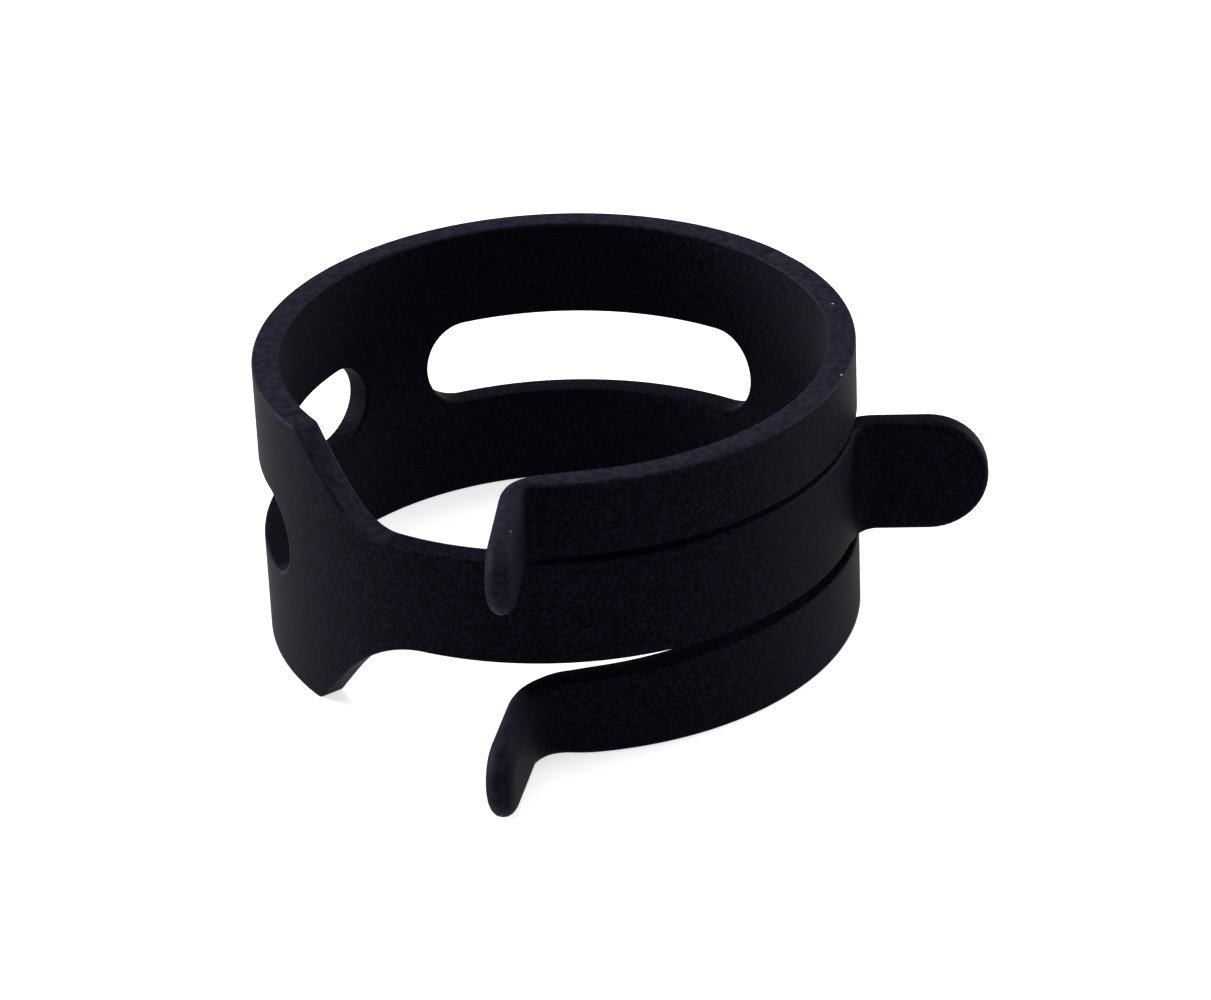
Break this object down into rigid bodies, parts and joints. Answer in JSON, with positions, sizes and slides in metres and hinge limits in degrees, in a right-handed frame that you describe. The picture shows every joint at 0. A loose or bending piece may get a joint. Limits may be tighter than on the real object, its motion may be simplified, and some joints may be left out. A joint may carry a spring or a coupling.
{
  "type": "spring band hose clamp",
  "caption": "Spring steel band clamp whose forked end and tongue cross, so that squeezing the tab towards the ears opens it over a hose.",
  "frame": {"origin": "centre of the ring, halfway across the strip's width", "axes": "+Z along the hose, -Y towards the ears, +X towards the tab"},
  "size_m": [0.0294, 0.0298, 0.012],
  "materials": {
    "coated_spring_steel": "satin black zinc-flake coating with a fine grain"
  },
  "bodies": {
    "rear": {"rear_web": "coated_spring_steel"},
    "back_left_rails": {"back_upper_rail_3": "coated_spring_steel", "back_lower_rail_3": "coated_spring_steel"},
    "back_middle_rails": {"back_upper_rail_2": "coated_spring_steel", "back_lower_rail_2": "coated_spring_steel"},
    "back_right_rails": {"back_upper_rail_1": "coated_spring_steel", "back_lower_rail_1": "coated_spring_steel"},
    "right_side": {"right_web": "coated_spring_steel"},
    "fork": {"fork_root": "coated_spring_steel", "upper_arm": "coated_spring_steel", "lower_arm": "coated_spring_steel", "upper_ear": "coated_spring_steel", "lower_ear": "coated_spring_steel"},
    "left_rear_rails": {"left_upper_rail_1": "coated_spring_steel", "left_lower_rail_1": "coated_spring_steel"},
    "left_front_rails": {"left_upper_rail_2": "coated_spring_steel", "left_lower_rail_2": "coated_spring_steel"},
    "left_side": {"left_web": "coated_spring_steel"},
    "shoulder": {"shoulder": "coated_spring_steel"},
    "tongue": {"tongue": "coated_spring_steel", "tab": "coated_spring_steel"}
  },
  "joints": [
    {"name": "bend_at_left_window_rear", "type": "hinge", "parent": "rear", "child": "left_rear_rails", "pos_m": [-0.01052, 0.00598, 0], "axis": [0, 0, -1], "range_deg": [0, 9], "stiffness_Nm_per_rad": 20},
    {"name": "bend_in_left_window", "type": "hinge", "parent": "left_rear_rails", "child": "left_front_rails", "pos_m": [-0.01196, 0.00181, 0], "axis": [0, 0, -1], "range_deg": [0, 5.85]},
    {"name": "bend_at_left_window_front", "type": "hinge", "parent": "left_front_rails", "child": "left_side", "pos_m": [-0.01182, -0.0026, 0], "axis": [0, 0, -1], "range_deg": [0, 4.5]},
    {"name": "bend_at_left_side", "type": "hinge", "parent": "left_side", "child": "shoulder", "pos_m": [-0.0105, -0.00601, 0], "axis": [0, 0, -1], "range_deg": [0, 2.25]},
    {"name": "bend_at_shoulder", "type": "hinge", "parent": "shoulder", "child": "tongue", "pos_m": [-0.00899, -0.0081, 0], "axis": [0, 0, -1], "range_deg": [0, 6.48]},
    {"name": "bend_at_back_window_left", "type": "hinge", "parent": "rear", "child": "back_left_rails", "pos_m": [-0.00438, 0.01128, 0], "axis": [0, 0, 1], "range_deg": [0, 8.37]},
    {"name": "bend_in_back_window_left", "type": "hinge", "parent": "back_left_rails", "child": "back_middle_rails", "pos_m": [-0.00017, 0.0121, 0], "axis": [0, 0, 1], "range_deg": [0, 5.94]},
    {"name": "bend_in_back_window_right", "type": "hinge", "parent": "back_middle_rails", "child": "back_right_rails", "pos_m": [0.00406, 0.0114, 0], "axis": [0, 0, 1], "range_deg": [0, 5.04]},
    {"name": "bend_at_back_window_right", "type": "hinge", "parent": "back_right_rails", "child": "right_side", "pos_m": [0.00778, 0.00927, 0], "axis": [0, 0, 1], "range_deg": [0, 3.78]},
    {"name": "bend_at_right_side", "type": "hinge", "parent": "right_side", "child": "fork", "pos_m": [0.01048, 0.00605, 0], "axis": [0, 0, 1], "range_deg": [0, 3.96]}
  ],
  "couplings": [
    {"joint": "bend_in_left_window", "follows": "bend_at_left_window_rear", "ratio": 0.65},
    {"joint": "bend_at_left_window_front", "follows": "bend_at_left_window_rear", "ratio": 0.5},
    {"joint": "bend_at_left_side", "follows": "bend_at_left_window_rear", "ratio": 0.25},
    {"joint": "bend_at_shoulder", "follows": "bend_at_left_window_rear", "ratio": 0.72},
    {"joint": "bend_at_back_window_left", "follows": "bend_at_left_window_rear", "ratio": 0.93},
    {"joint": "bend_in_back_window_left", "follows": "bend_at_left_window_rear", "ratio": 0.66},
    {"joint": "bend_in_back_window_right", "follows": "bend_at_left_window_rear", "ratio": 0.56},
    {"joint": "bend_at_back_window_right", "follows": "bend_at_left_window_rear", "ratio": 0.42},
    {"joint": "bend_at_right_side", "follows": "bend_at_left_window_rear", "ratio": 0.44}
  ]
}
